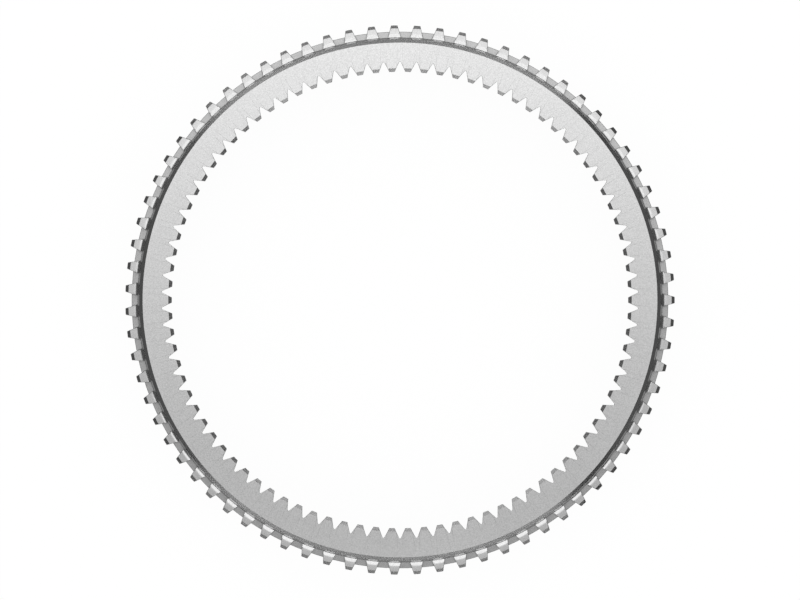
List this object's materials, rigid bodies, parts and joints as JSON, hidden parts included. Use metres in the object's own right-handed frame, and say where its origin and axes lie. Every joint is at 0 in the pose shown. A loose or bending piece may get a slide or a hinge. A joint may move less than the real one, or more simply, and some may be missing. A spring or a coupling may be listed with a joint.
{
  "type": "ring gear",
  "caption": "Steel ring gear in one piece, with gear teeth inside, a band of straight-sided spline teeth outside, a chamfered front shoulder and a plain rear rim.",
  "frame": {"origin": "on the gear axis, in the plane of the rear face", "axes": "+Z along the gear axis from the rear face to the front face, +X through the middle of a tooth of both sets"},
  "size_m": [0.3847, 0.3848, 0.0515],
  "materials": {
    "steel": "fine turned and ground steel, bare"
  },
  "bodies": {
    "root": {"ring_gear": "steel"}
  },
  "joints": []
}
